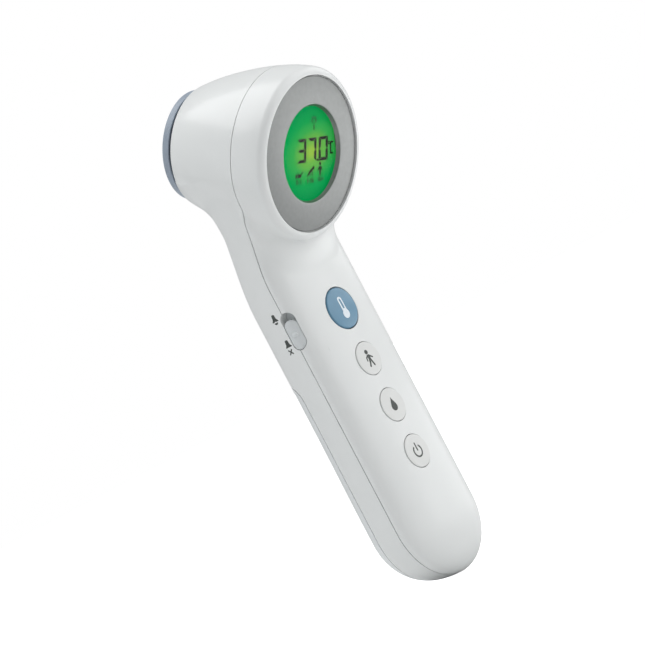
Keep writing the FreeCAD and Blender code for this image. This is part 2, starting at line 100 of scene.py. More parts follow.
def f_head(x, y, z, d, face, nose):
    r, dep = head_coords(x, y, z)
    s = np.clip(dep / 40.0, 0.0, 1.1)
    slope = np.polyval(np.polyder(HEAD_POLY), s) / 40.0
    e = -(y - D0[1]) * SN + (z - D0[2]) * CS
    # the nose is a little flatter underneath than a turned cone
    trim = 2.9 * smooth((-e - 2.0) / 12.0) * smooth((dep - 8.0) / 13.0) * (1 - smooth((dep - 28.0) / 12.0))
    side = (r - (np.polyval(HEAD_POLY, s) - d) + trim) / np.sqrt(1 + slope * slope)
    f = round_and(side, face - dep, 2.25)
    return np.maximum(f, dep - nose)


def form(P, d=0.0, face=0.0, nose=NOSE + 2.0):
    x, y, z = P[..., 0], P[..., 1], P[..., 2]
    a = f_handle(x, y, z, d)
    b = f_head(x, y, z, d, face, nose)
    k = 10.5 + (3.6 - 10.5) * smooth((z - 68.0) / 14.0)
    k = 3.6 + (k - 3.6) * smooth((y + 17.0) / 6.0)
    k = k + (8.2 - k) * smooth((y + 2.0) / 8.0)
    return np.maximum(k, np.minimum(a, b)) - np.hypot(np.maximum(k - a, 0), np.maximum(k - b, 0))


def gradient(field, P, h=0.01):
    G = np.empty_like(P)
    for i in range(3):
        e = np.zeros(3)
        e[i] = h
        G[:, i] = (field(P + e) - field(P - e)) / (2 * h)
    return G


def nets(field, lo, hi, h, rounds=6):
    """A quad mesh of field = 0, with its vertices brought onto the surface."""
    n = np.ceil((np.array(hi) - lo) / h).astype(int) + 1
    ax = [lo[i] + h * np.arange(n[i]) for i in range(3)]
    F = np.empty(tuple(n), np.float32)
    for k in range(0, n[2], 24):
        X, Y, Z = np.meshgrid(ax[0], ax[1], ax[2][k:k + 24], indexing="ij")
        F[:, :, k:k + 24] = field(np.stack([X, Y, Z], -1))
    F[F == 0] = 1e-6
    S = F < 0
    m = n - 1
    cnt = np.zeros(tuple(m), np.int8)
    for i in (0, 1):
        for j in (0, 1):
            for k in (0, 1):
                cnt += S[i:i + m[0], j:j + m[1], k:k + m[2]]
    act = (cnt > 0) & (cnt < 8)
    idx = -np.ones(tuple(m), np.int64)
    I, J, K = np.nonzero(act)
    idx[I, J, K] = np.arange(len(I))
    acc, num = np.zeros((len(I), 3)), np.zeros(len(I))
    corners = [(i, j, k) for i in (0, 1) for j in (0, 1) for k in (0, 1)]
    for a in corners:
        for axis in range(3):
            if a[axis]:
                continue
            b = list(a)
            b[axis] = 1
            fa = F[I + a[0], J + a[1], K + a[2]].astype(float)
            fb = F[I + b[0], J + b[1], K + b[2]].astype(float)
            cross = (fa < 0) != (fb < 0)
            t = fa / np.where(cross, fa - fb, 1.0)
            p = np.tile(np.array(a, float), (len(I), 1))
            p[:, axis] += t
            acc[cross] += p[cross]
            num[cross] += 1
    V = (acc / num[:, None] + np.stack([I, J, K], 1)) * h + np.array(lo)
    quads = []
    for axis in range(3):
        b, c = (axis + 1) % 3, (axis + 2) % 3
        s0 = [slice(None)] * 3
        s1 = [slice(None)] * 3
        s0[axis], s1[axis] = slice(0, -1), slice(1, None)
        A, B = S[tuple(s0)], S[tuple(s1)]
        P = np.argwhere(A != B)
        P = P[(P[:, b] > 0) & (P[:, c] > 0) & (P[:, b] < n[b] - 1) & (P[:, c] < n[c] - 1)]
        ins = A[P[:, 0], P[:, 1], P[:, 2]]
        q = []
        for db, dc in ((-1, -1), (0, -1), (0, 0), (-1, 0)):
            R = P.copy()
            R[:, b] += db
            R[:, c] += dc
            q.append(idx[R[:, 0], R[:, 1], R[:, 2]])
        q = np.stack(q, 1)
        q[~ins] = q[~ins][:, ::-1]
        quads.append(q)
    Q = np.concatenate(quads)
    E = np.concatenate([Q[:, [0, 1]], Q[:, [1, 2]], Q[:, [2, 3]], Q[:, [3, 0]]])
    for r in range(rounds):
        if r < rounds - 2:
            tot, deg = np.zeros_like(V), np.bincount(E[:, 0], minlength=len(V)).astype(float)
            for i in range(3):
                tot[:, i] = np.bincount(E[:, 0], V[E[:, 1], i], minlength=len(V))
            V = V + 0.6 * (tot / np.maximum(deg, 1)[:, None] - V)
        G = gradient(field, V)
        f = field(V)
        step = f[:, None] * G / np.maximum((G * G).sum(1), 0.25)[:, None]
        ln = np.linalg.norm(step, axis=1)
        step *= np.minimum(1.0, h / np.maximum(ln, 1e-9))[:, None]
        V = V - step
    return V, Q


# ---------------------------------------------------------------- mesh helpers (all in mm)
def mesh_of(V, F, name="m"):
    me = bpy.data.meshes.new(name)
    me.from_pydata([tuple(map(float, v)) for v in V], [], [tuple(map(int, f)) for f in F])
    me.update()
    return me


def clean(bm, name="m"):
    bmesh.ops.recalc_face_normals(bm, faces=bm.faces)
    me = bpy.data.meshes.new(name)
    bm.to_mesh(me)
    bm.free()
    return me


def place(me, M):
    me.transform(M)
    if M.determinant() < 0:
        me.flip_normals()
    return me


def boolean(a, b, op="DIFFERENCE"):
    col = bpy.context.scene.collection
    oa, ob = bpy.data.objects.new("tmp_a", a), bpy.data.objects.new("tmp_b", b)
    col.objects.link(oa)
    col.objects.link(ob)
    mod = oa.modifiers.new("b", "BOOLEAN")
    mod.operation, mod.object, mod.solver = op, ob, "MANIFOLD"
    dg = bpy.context.evaluated_depsgraph_get()
    me = bpy.data.meshes.new_from_object(oa.evaluated_get(dg))
    bpy.data.objects.remove(oa)
    bpy.data.objects.remove(ob)
    return me


def prism(pts, x0, x1, M=None):
    """A closed outline of (a, b) points in the YZ plane carried from x0 to x1, or in M's own XY plane from z0 to z1."""
    bm = bmesh.new()
    if M is None:
        lo = [bm.verts.new((x0, a, b)) for a, b in pts]
        hi = [bm.verts.new((x1, a, b)) for a, b in pts]
    else:
        lo = [bm.verts.new((a, b, x0)) for a, b in pts]
        hi = [bm.verts.new((a, b, x1)) for a, b in pts]
    n = len(pts)
    for t in tessellate_polygon([[Vector((a, b, 0)) for a, b in pts]]):
        bm.faces.new([lo[i] for i in t])
        bm.faces.new([hi[i] for i in t])
    for i in range(n):
        j = (i + 1) % n
        bm.faces.new((lo[i], lo[j], hi[j], hi[i]))
    me = clean(bm)
    return me if M is None else place(me, M)


def lathe(pts, M, n=None):
    """A solid turned about M's own Z axis from (radius, height) points, closed at the axis if it starts and ends there."""
    n = n or (144)
    bm = bmesh.new()
    on_axis = pts[0][0] == 0 and pts[-1][0] == 0
    rings = []
    for r, h in pts:
        if r == 0:
            rings.append([bm.verts.new((0, 0, h))])
        else:
            rings.append([bm.verts.new((r * math.cos(2 * math.pi * i / n), r * math.sin(2 * math.pi * i / n), h)) for i in range(n)])
    pairs = list(zip(rings, rings[1:])) + ([] if on_axis else [(rings[-1], rings[0])])
    for A, B in pairs:
        for i in range(n):
            j = (i + 1) % n
            if len(A) == 1 and len(B) == 1:
                continue
            if len(A) == 1:
                bm.faces.new((A[0], B[i], B[j]))
            elif len(B) == 1:
                bm.faces.new((A[i], B[0], A[j]))
            else:
                bm.faces.new((A[i], A[j], B[j], B[i]))
    return place(clean(bm), M)


def arc(cx, cy, rx, ry, a0, a1, n=6):
    return [(cx + rx * math.cos(math.radians(a0 + (a1 - a0) * i / n)),
             cy + ry * math.sin(math.radians(a0 + (a1 - a0) * i / n))) for i in range(n + 1)]


def cyl(r, h0, h1, M, n=96):
    return lathe([(0, h0), (r, h0), (r, h1), (0, h1)], M, n)


def at(M, x, y, z=0.0):
    return M @ Matrix.Translation((x, y, z))


def stadium_pts(y, z0, z1, w, n=24):
    r = w / 2
    pts = [(y + r * math.cos(a), z1 - r + r * math.sin(a)) for a in [math.pi * i / n for i in range(n + 1)]]
    pts += [(y + r * math.cos(a), z0 + r + r * math.sin(a)) for a in [math.pi + math.pi * i / n for i in range(n + 1)]]
    return pts


def parting(offset):
    by, bz = D0[1] + 11.8 * CS, D0[2] + 11.8 * SN
    turn = bz + (by - SECTION_Y) / SN * CS
    tl, n = 10.0, 28
    p0 = (SECTION_Y, turn - tl)
    p2 = (SECTION_Y - SN * tl, turn + CS * tl)
    pts = [(SECTION_Y, -80.0), p0]
    for i in range(1, n):
        t = i / n
        pts.append(((1 - t) ** 2 * p0[0] + 2 * t * (1 - t) * SECTION_Y + t * t * p2[0],
                    (1 - t) ** 2 * p0[1] + 2 * t * (1 - t) * turn + t * t * p2[1]))
    pts += [p2, (SECTION_Y - SN * 75, turn + CS * 75)]
    return [(y + offset, z) for y, z in pts]


def door_zone(offset):
    y0, zt, r = 3.7 + offset, 19.0 - offset, 6.0
    pts = [(y0, -80.0)] + [(y0 + r - r * math.cos(math.pi / 2 * i / 16), zt - r + r * math.sin(math.pi / 2 * i / 16)) for i in range(17)]
    return prism(pts + [(30.0, zt), (30.0, -80.0)], -40, 40)


MATS = {}


def add(name, me, body, replaces=(), mat=None, smooth_angle=35, field=None):
    """Turns a mesh in mm into a piece of the object in metres, with crisp edges and smooth moulded faces."""
    me.name = name
    me.polygons.foreach_set("use_smooth", [True] * len(me.polygons))
    me.set_sharp_from_angle(angle=math.radians(smooth_angle))
    if field is not None:
        nl = len(me.loops)
        cn = np.zeros(nl * 3, np.float32)
        me.corner_normals.foreach_get("vector", cn)
        cn = cn.reshape(-1, 3).astype(float)
        vi = np.zeros(nl, np.int32)
        me.loops.foreach_get("vertex_index", vi)
        co = np.zeros(len(me.vertices) * 3, np.float32)
        me.vertices.foreach_get("co", co)
        co = co.reshape(-1, 3).astype(float)
        start = np.zeros(len(me.polygons), np.int32)
        tot = np.zeros(len(me.polygons), np.int32)
        me.polygons.foreach_get("loop_start", start)
        me.polygons.foreach_get("loop_total", tot)
        fn = np.zeros(len(me.polygons) * 3, np.float32)
        me.polygons.foreach_get("normal", fn)
        fn = fn.reshape(-1, 3)[np.repeat(np.arange(len(me.polygons)), tot)]
        G = gradient(field, co)
        G /= np.maximum(np.linalg.norm(G, axis=1), 1e-9)[:, None]
        on = np.abs(field(co)) < 0.03
        use = on[vi] & ((fn * G[vi]).sum(1) > 0.86)
        cn[use] = G[vi][use]
        me.normals_split_custom_set(cn.tolist())
    me.transform(Matrix.Scale(MM, 4))
    me.validate()
    ob = bpy.data.objects.new(name, me)
    bpy.context.scene.collection.objects.link(ob)
    if mat:
        me.materials.clear()
        me.materials.append(MATS[mat])
    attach(ob, body)
    if replaces:
        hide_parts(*replaces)
    return ob


# ---------------------------------------------------------------- materials
def lin(c):
    c = c / 255.0
    return c / 12.92 if c <= 0.04045 else ((c + 0.055) / 1.055) ** 2.4


def rgb(r, g, b):
    return (lin(r), lin(g), lin(b), 1.0)


def surface(name, colour, rough=(0.3, 0.36), vary=0.015, scale=260.0, grain=0.02, grain_scale=2600.0,
            metallic=0.0, coat=0.0, coat_rough=0.06, specular=0.5, ior=1.5, stretch=None, tint=None,
            transmission=0.0, sss=0.0, edge=0.0):
    """A moulded, printed, plated or machined finish: colour and gloss drift over the surface, with a fine grain."""
    m = bpy.data.materials.new(name)
    m.use_nodes = True
    nt = m.node_tree
    b = nt.nodes["Principled BSDF"]
    b.inputs["Metallic"].default_value = metallic
    b.inputs["IOR"].default_value = ior
    b.inputs["Specular IOR Level"].default_value = specular
    b.inputs["Coat Weight"].default_value = coat
    b.inputs["Coat Roughness"].default_value = coat_rough
    b.inputs["Transmission Weight"].default_value = transmission
    if sss:
        b.inputs["Subsurface Weight"].default_value = sss
        b.inputs["Subsurface Radius"].default_value = (1.0, 1.0, 1.0)
        b.inputs["Subsurface Scale"].default_value = 0.0006
    tc = nt.nodes.new("ShaderNodeTexCoord")
    vec = tc.outputs["Object"]
    if stretch:
        mp = nt.nodes.new("ShaderNodeMapping")
        mp.inputs["Scale"].default_value = stretch
        nt.links.new(vec, mp.inputs["Vector"])
        vec = mp.outputs["Vector"]
    n1 = nt.nodes.new("ShaderNodeTexNoise")
    n1.inputs["Scale"].default_value = scale
    n1.inputs["Detail"].default_value = 2.0
    nt.links.new(tc.outputs["Object"], n1.inputs["Vector"])
    ramp = nt.nodes.new("ShaderNodeValToRGB")
    lo = tuple(max(c * (1 - vary * 2), 0) for c in colour[:3]) + (1.0,)
    hi = tuple(min(c * (1 + vary * 2), 1) for c in colour[:3]) + (1.0,)
    if tint:
        hi = tint
    ramp.color_ramp.interpolation = "EASE"
    ramp.color_ramp.elements[0].position, ramp.color_ramp.elements[1].position = 0.18, 0.82
    ramp.color_ramp.elements[0].color, ramp.color_ramp.elements[1].color = lo, hi
    nt.links.new(n1.outputs["Fac"], ramp.inputs["Fac"])
    nt.links.new(ramp.outputs["Color"], b.inputs["Base Color"])
    n2 = nt.nodes.new("ShaderNodeTexNoise")
    n2.inputs["Scale"].default_value = scale * 0.45
    n2.inputs["Detail"].default_value = 3.0
    nt.links.new(vec, n2.inputs["Vector"])
    mr = nt.nodes.new("ShaderNodeMapRange")
    mr.inputs["From Min"].default_value, mr.inputs["From Max"].default_value = 0.0, 1.0
    mr.inputs["To Min"].default_value, mr.inputs["To Max"].default_value = rough
    nt.links.new(n2.outputs["Fac"], mr.inputs["Value"])
    nt.links.new(mr.outputs["Result"], b.inputs["Roughness"])
    n3 = nt.nodes.new("ShaderNodeTexNoise")
    n3.inputs["Scale"].default_value = grain_scale
    n3.inputs["Detail"].default_value = 2.0
    nt.links.new(vec, n3.inputs["Vector"])
    bp = nt.nodes.new("ShaderNodeBump")
    bp.inputs["Strength"].default_value = grain
    bp.inputs["Distance"].default_value = 0.0001
    nt.links.new(n3.outputs["Fac"], bp.inputs["Height"])
    nt.links.new(bp.outputs["Normal"], b.inputs["Normal"])
    MATS[name] = m
    return m


surface("gloss_white", rgb(233, 235, 234), rough=(0.295, 0.305), vary=0.004, scale=90, grain=0.012, grain_scale=2400, coat=0.25, coat_rough=0.12)
surface("gloss_white_door", rgb(231, 234, 234), rough=(0.31, 0.32), vary=0.004, scale=90, grain=0.015, grain_scale=2400, coat=0.2, coat_rough=0.14)
surface("silver_satin", rgb(140, 142, 141), rough=(0.32, 0.4), vary=0.02, scale=700, grain=0.06, grain_scale=5200, metallic=0.85, coat=0.1, coat_rough=0.3)
surface("blue_grey", rgb(150, 162, 176), rough=(0.34, 0.42), vary=0.03, scale=300, grain=0.03, grain_scale=3400, coat=0.1)
surface("blue_satin", rgb(98, 144, 172), rough=(0.3, 0.38), vary=0.02, scale=240, grain=0.03, grain_scale=3400, coat=0.3, coat_rough=0.15)
surface("white_cap", rgb(226, 227, 225), rough=(0.355, 0.365), vary=0.008, scale=140, grain=0.02, grain_scale=2600, coat=0.12, coat_rough=0.2)
surface("slider_grey", rgb(214, 218, 219), rough=(0.36, 0.44), vary=0.012, scale=200, grain=0.03, grain_scale=2600)
surface("print_dark", rgb(62, 67, 64), rough=(0.42, 0.5), vary=0.04, scale=900, grain=0.02, grain_scale=6000)
surface("print_white", rgb(232, 240, 246), rough=(0.34, 0.42), vary=0.02, scale=900, grain=0.02, grain_scale=6000)
surface("segment_dark", rgb(26, 24, 22), rough=(0.4, 0.5), vary=0.08, scale=900, grain=0.01, grain_scale=4000, specular=0.1)
surface("gasket_black", rgb(30, 38, 56), rough=(0.5, 0.6), vary=0.06, scale=500, grain=0.1, grain_scale=4000)
surface("cone_black", rgb(30, 32, 36), rough=(0.16, 0.24), vary=0.08, scale=400, grain=0.02, grain_scale=3000, coat=0.5)
surface("inner_white", rgb(216, 218, 216), rough=(0.45, 0.55), vary=0.02, scale=240, grain=0.06, grain_scale=1800)
surface("inner_black", rgb(34, 35, 38), rough=(0.45, 0.56), vary=0.1, scale=300, grain=0.08, grain_scale=2600)
surface("chip_black", rgb(26, 27, 29), rough=(0.5, 0.62), vary=0.12, scale=900, grain=0.12, grain_scale=5200)
surface("board_green", rgb(20, 84, 52), rough=(0.32, 0.46), vary=0.12, scale=700, grain=0.08, grain_scale=3600, coat=0.4, tint=rgb(30, 104, 62))
surface("steel", rgb(196, 198, 200), rough=(0.24, 0.36), vary=0.04, scale=600, grain=0.05, grain_scale=4200, metallic=1.0)
surface("zinc_screw", rgb(172, 176, 180), rough=(0.3, 0.42), vary=0.06, scale=900, grain=0.08, grain_scale=5200, metallic=1.0)
surface("nickel_plate", rgb(204, 200, 188), rough=(0.2, 0.32), vary=0.04, scale=800, grain=0.04, grain_scale=5200, metallic=1.0)
surface("cell_jacket", rgb(52, 74, 116), rough=(0.26, 0.36), vary=0.06, scale=260, grain=0.03, grain_scale=2200, metallic=0.3, coat=0.4, tint=rgb(66, 92, 136))
surface("sensor_can", rgb(196, 192, 176), rough=(0.22, 0.32), vary=0.05, scale=700, grain=0.04, grain_scale=5200, metallic=1.0)
surface("filter_glass", rgb(58, 52, 66), rough=(0.06, 0.12), vary=0.1, scale=900, grain=0.01, grain_scale=4000, coat=0.6, tint=rgb(92, 78, 96))
surface("lens_blue", rgb(150, 178, 214), rough=(0.1, 0.16), vary=0.05, scale=900, grain=0.01, grain_scale=4000, transmission=0.4)
surface("diffuser", rgb(212, 226, 206), rough=(0.5, 0.6), vary=0.03, scale=260, grain=0.05, grain_scale=1800, sss=0.1)
surface("led_green", rgb(146, 226, 120), rough=(0.2, 0.3), vary=0.06, scale=600, grain=0.02, grain_scale=3200, transmission=0.2)
surface("flex_amber", rgb(176, 112, 40), rough=(0.26, 0.36), vary=0.08, scale=500, grain=0.03, grain_scale=3200, tint=rgb(200, 136, 56))


def window_material():
    m = surface("clear_window", rgb(190, 194, 192), rough=(0.02, 0.05), vary=0.02, scale=400, grain=0.0004, grain_scale=60, metallic=1.0)
    m.node_tree.nodes["Principled BSDF"].inputs["Alpha"].default_value = 0.006


window_material()


def lcd_material():
    """A lit display: yellow-green where the backlight is strong, deep green towards the rim."""
    m = bpy.data.materials.new("lcd_glow")
    m.use_nodes = True
    nt = m.node_tree
    b = nt.nodes["Principled BSDF"]
    tc = nt.nodes.new("ShaderNodeTexCoord")
    mp = nt.nodes.new("ShaderNodeMapping")
    mp.vector_type = "TEXTURE"
    mp.inputs["Location"].default_value = (0.0030, -0.0004, 0.0)
    mp.inputs["Scale"].default_value = (0.0190, 0.0128, 1.0)
    nt.links.new(tc.outputs["Object"], mp.inputs["Vector"])
    gr = nt.nodes.new("ShaderNodeTexGradient")
    gr.gradient_type = "SPHERICAL"
    nt.links.new(mp.outputs["Vector"], gr.inputs["Vector"])
    noise = nt.nodes.new("ShaderNodeTexNoise")
    noise.inputs["Scale"].default_value = 260.0
    nt.links.new(tc.outputs["Object"], noise.inputs["Vector"])
    mx = nt.nodes.new("ShaderNodeMath")
    mx.operation = "MULTIPLY_ADD"
    mx.inputs[1].default_value = 0.05
    nt.links.new(noise.outputs["Fac"], mx.inputs[0])
    nt.links.new(gr.outputs["Color"], mx.inputs[2])
    ramp = nt.nodes.new("ShaderNodeValToRGB")
    r = ramp.color_ramp
    r.interpolation = "EASE"
    r.elements[0].position, r.elements[0].color = 0.0, rgb(0, 125, 58)
    r.elements[1].position, r.elements[1].color = 1.0, rgb(148, 172, 48)
    for p, c in ((0.22, rgb(4, 132, 59)), (0.45, rgb(46, 144, 58)), (0.7, rgb(98, 155, 53))):
        e = r.elements.new(p)
        e.color = c
    nt.links.new(mx.outputs[0], ramp.inputs["Fac"])
    nt.links.new(ramp.outputs["Color"], b.inputs["Emission Color"])
    b.inputs["Emission Strength"].default_value = 1.0
    dark = nt.nodes.new("ShaderNodeValToRGB")
    dark.color_ramp.elements[0].color = rgb(0, 98, 53)
    dark.color_ramp.elements[1].color = rgb(0, 102, 56)
    nt.links.new(noise.outputs["Fac"], dark.inputs["Fac"])
    nt.links.new(dark.outputs["Color"], b.inputs["Base Color"])
    b.inputs["Roughness"].default_value = 0.5
    b.inputs["Specular IOR Level"].default_value = 0.0
    MATS["lcd_glow"] = m


lcd_material()

# ---------------------------------------------------------------- camera, light, floor
right = Vector((0.5584, -0.6868, -0.465)).normalized()
back = Vector((-0.7756, -0.631, 0.0)).normalized()
up = back.cross(right).normalized()
right = up.cross(back).normalized()
target = Vector((0, -12.1, 33.05)) - 5.94 * right - 4.45 * up
DIST = 2600.0
cam = bpy.data.objects.new("camera", bpy.data.cameras.new("camera"))
bpy.context.scene.collection.objects.link(cam)
cam.data.sensor_width = 36.0
cam.data.lens = 36.0 * DIST / 195.45
cam.data.clip_start, cam.data.clip_end = 0.05, 40.0
cam.data.dof.use_dof = False
M = Matrix((right, up, back)).transposed().to_4x4()
M.translation = (target + DIST * back) * MM
cam.matrix_world = M
bpy.context.scene.camera = cam
bpy.context.scene.view_settings.view_transform = "Standard"
bpy.context.scene.view_settings.look = "None"

world = bpy.data.worlds.new("studio")
bpy.context.scene.world = world
world.use_nodes = True
wn = world.node_tree
wn.nodes.clear()
out = wn.nodes.new("ShaderNodeOutputWorld")
bg_cam, bg_light = wn.nodes.new("ShaderNodeBackground"), wn.nodes.new("ShaderNodeBackground")
bg_cam.inputs["Color"].default_value = (1, 1, 1, 1)
bg_cam.inputs["Strength"].default_value = 1.0
bg_light.inputs["Color"].default_value = (0.97, 0.985, 1.0, 1)
bg_light.inputs["Strength"].default_value = 0.455
lp, mixs = wn.nodes.new("ShaderNodeLightPath"), wn.nodes.new("ShaderNodeMixShader")
wn.links.new(lp.outputs["Is Camera Ray"], mixs.inputs["Fac"])
wn.links.new(bg_light.outputs["Background"], mixs.inputs[1])
wn.links.new(bg_cam.outputs["Background"], mixs.inputs[2])
wn.links.new(mixs.outputs["Shader"], out.inputs["Surface"])


def area(name, direction, size, power, dist=0.9, colour=(1, 1, 1), aim=(0, -0.008, 0.03)):
    d = Vector(direction).normalized()
    li = bpy.data.lights.new(name, "AREA")
    li.shape = "RECTANGLE"
    li.size, li.size_y = size
    li.energy = power
    li.color = colour
    ob = bpy.data.objects.new(name, li)
    bpy.context.scene.collection.objects.link(ob)
    ob.location = Vector(aim) + d * dist
    ob.rotation_mode = "QUATERNION"
    ob.rotation_quaternion = d.to_track_quat("Z", "Y")
    ob.visible_camera = False
    return ob


area("key_front", (0.55, -0.9, 0.42), (0.9, 0.9), 3.2, 1.0)
area("side_back", (-0.95, 0.62, 0.2), (0.8, 0.9), 1.25, 1.0, (0.95, 0.985, 1.0))
area("fill_right", (0.93, -0.3, 0.24), (0.5, 0.42), 0.9, 0.9)
area("near_right", (0.74, -0.32, -0.60), (0.17, 0.17), 0.10, 0.24, (1, 1, 1), (0.0, -0.03, 0.075))
area("top_soft", (-0.1, 0.2, 1.0), (0.9, 0.9), 5.5, 1.0)

bm = bmesh.new()
bmesh.ops.create_circle(bm, cap_ends=True, radius=12.0, segments=128)
floor_me = bpy.data.meshes.new("floor")
bm.to_mesh(floor_me)
bm.free()
floor = bpy.data.objects.new("floor", floor_me)
bpy.context.scene.collection.objects.link(floor)
floor.location = (0, 0, -0.0549)
fm = surface("floor_paper", rgb(234, 234, 234), rough=(0.7, 0.8), vary=0.004, scale=30, grain=0.02, grain_scale=900)
# pure white paper to the eye, while it bounces only a soft light onto the object
ft = fm.node_tree
fb = ft.nodes["Principled BSDF"]
fb.inputs["Emission Color"].default_value = (1, 1, 1, 1)
fl = ft.nodes.new("ShaderNodeLightPath")
fr = ft.nodes.new("ShaderNodeMapRange")
fr.inputs["To Min"].default_value, fr.inputs["To Max"].default_value = 0.0, 0.92
ft.links.new(fl.outputs["Is Camera Ray"], fr.inputs["Value"])
ft.links.new(fr.outputs["Result"], fb.inputs["Emission Strength"])
floor_me.materials.append(fm)

# ---------------------------------------------------------------- the moulded shells
LO = np.array([-28.2, -43.5, -56.5])
HI = np.array([28.2, 15.5, 116.0])
OUT_F = lambda P: form(P)
IN_F = lambda P: form(P, d=WALL, face=2.85, nose=NOSE - WALL)
pts_out, quads_out = nets(OUT_F, LO, HI, STEP)
outer = mesh_of(np.clip(pts_out, (-26.62, -60.0, -54.59), (26.62, 16.94, 112.85)), quads_out)
inner = mesh_of(*nets(IN_F, LO, HI, STEP * 1.45, 4))

# the nose ends in a flat rim with a small round
END = NOSE - 0.65
R0 = float(head_radius(END))
trim = lathe([(0, -END)] + [(R0 - 0.5 + 0.6 * math.cos(math.radians(a)), -END + 0.5 - 0.5 * math.sin(math.radians(a))) for a in (90, 72, 54, 38, 22, 8)]
             + [(R0 + 0.35, -END + 0.6), (27, -END + 0.6), (27, -46), (0, -46)], HEAD)
outer = boolean(outer, trim)

front_side = prism(parting(-SEAM) + [(-90.0, 124.0), (-90.0, -80.0)], -40, 40)
rear_side = prism(parting(SEAM) + [(60.0, 124.0), (60.0, -80.0)], -40, 40)
shell = boolean(outer, inner)
front = boolean(shell, front_side, "INTERSECT")
rear = boolean(shell, rear_side, "INTERSECT")

BUTTONS = {"measure": (33.05, 6.8, 12.9), "age": (15.8, 5.4, 12.4), "object": (0.0, 5.4, 12.4), "power": (-15.8, 5.4, 12.4)}
seat = lathe([(0, 2), (23.96, 2), (23.96, -1.35), (22.3, -1.35), (22.3, -3.4), (0, -3.4)], HEAD)
front = boolean(front, seat)
for name, (z, r, top) in BUTTONS.items():
    front = boolean(front, cyl(r + 0.15, 9.0, 14.0, at(FRONT, 0, z)))
slot = prism(stadium_pts(-6.35, 27.4, 39.8, 4.8), -21, -14)
front = boolean(front, slot)
for x, z, y0, r in ((-11, 24, 11.0, 2.3), (11, 24, 11.0, 2.3), (-9.5, -46.6, 9.2, 2.4), (9.5, -46.6, 9.2, 2.4), (-12, 44, 10.6, 2.2), (12, 44, 10.6, 2.2)):
    boss = boolean(cyl(r, 5.05 if z < -40 else 6.95, y0, at(FRONT, x, z), 48), cyl(0.98, 0, y0 - 1.2, at(FRONT, x, z), 32))
    front = boolean(front, boss, "UNION")

nose_bore = cyl(15.86, -46, -36, HEAD, 144)
rear = boolean(rear, nose_bore)
door_cut = door_zone(-SEAM)
for x in (-11, 11):
    boss = boolean(cyl(2.9, -14, 5.85, at(FRONT, x, 24), 64), outer, "INTERSECT")
    rear = boolean(rear, boss, "UNION")
rear = boolean(rear, door_cut)
for x in (-9.5, 9.5):
    boss = boolean(cyl(2.6, -2.6, 4.9, at(FRONT, x, -46.6), 64), outer, "INTERSECT")
    rear = boolean(rear, boss, "UNION")
for x, z, h0, h1 in ((-11, 24, -16, 2.8), (11, 24, -16, 2.8), (-9.5, -46.6, -6, -0.2), (9.5, -46.6, -6, -0.2)):
    rear = boolean(rear, cyl(2.2, h0, h1, at(FRONT, x, z), 64))
    rear = boolean(rear, cyl(1.15, -3, 8, at(FRONT, x, z), 32))
rear = boolean(rear, slot)

DOOR_F = lambda P: np.maximum(f_handle(P[..., 0], P[..., 1], P[..., 2], 1.5), P[..., 2] - 36.0)
door_in = mesh_of(*nets(DOOR_F, np.array([-20, -12, -55]), np.array([20, 14, 40.0]), STEP * 1.3, 4))
door = boolean(boolean(outer, door_zone(SEAM), "INTERSECT"), door_in)
tongue = prism([(8.75, 16.2), (11.2, 16.2), (11.2, 18.4), (9.65, 18.4), (9.65, 21.2), (9.35, 21.5), (8.75, 21.5)], -3.5, 3.5)
door = boolean(door, tongue, "UNION")

add("shell_front", front, "housing", ("front_shell",), "gloss_white", field=OUT_F)
add("shell_rear", rear, "housing", ("rear_shell",), "gloss_white", field=OUT_F)
add("battery_cover", door, "battery_door", ("battery_door",), "gloss_white_door", field=OUT_F)

# ---------------------------------------------------------------- display
bez = [(17.2, -1.3), (14.45, -1.3), (14.4, -1.24), (14.86, -0.34)] + arc(15.2, -0.3, 0.32, 0.28, 172, 90, 7)
bez += [(15.2 + 8.1 * i / 16, -0.02 - 0.5 * (i / 16) ** 1.8) for i in range(1, 17)] + arc(23.3, -0.8, 0.28, 0.28, 90, 0, 5)[1:] + [(23.58, -1.3)]
add("bezel_ring", lathe(bez, HEAD, 192), "housing", ("display_bezel",), "silver_satin")
win = [(0, -2.15), (19.85, -2.15), (20.0, -2.0), (20.0, -1.5), (19.85, -1.35), (0, -1.35)]
add("window_disc", lathe(win, HEAD, 144), "housing", ("display_window",), "clear_window")


def local_piece(name, me, M, body, replaces=(), mat=None, angle=35):
    """A piece whose own axes are M's, for a finish that is centred on it."""
    Mi = M.copy()
    Mi.translation = M.translation * MM
    me.name = name
    me.polygons.foreach_set("use_smooth", [True] * len(me.polygons))
    me.set_sharp_from_angle(angle=math.radians(angle))
    me.transform(Matrix.Scale(MM, 4))
    ob = bpy.data.objects.new(name, me)
    bpy.context.scene.collection.objects.link(ob)
    ob.matrix_world = Mi
    me.materials.append(MATS[mat])
    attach(ob, body)
    if replaces:
        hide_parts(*replaces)
    return ob


IDENT = Matrix.Identity(4)


def rounded_square(h, r, n=6):
    pts = []
    for cx, cy, a in ((h - r, h - r, 0), (-h + r, h - r, 90), (-h + r, -h + r, 180), (h - r, -h + r, 270)):
        pts += arc(cx, cy, r, r, a, a + 90, n)
    return pts


bm = bmesh.new()
levels = [(-4.2, 15.3), (-4.05, 15.45), (-2.35, 15.45), (-2.2, 15.3)]
rings = [[bm.verts.new((x, y, h)) for x, y in rounded_square(s, 1.2)] for h, s in levels]
for A, B in zip(rings, rings[1:]):
    for i in range(len(A)):
        j = (i + 1) % len(A)
        bm.faces.new((A[i], A[j], B[j], B[i]))
bm.faces.new(rings[0][::-1])
bm.faces.new(rings[-1])
lcd = clean(bm)
local_piece("lcd_glass", lcd, HEAD, "housing", ("lcd_panel",), "lcd_glow")


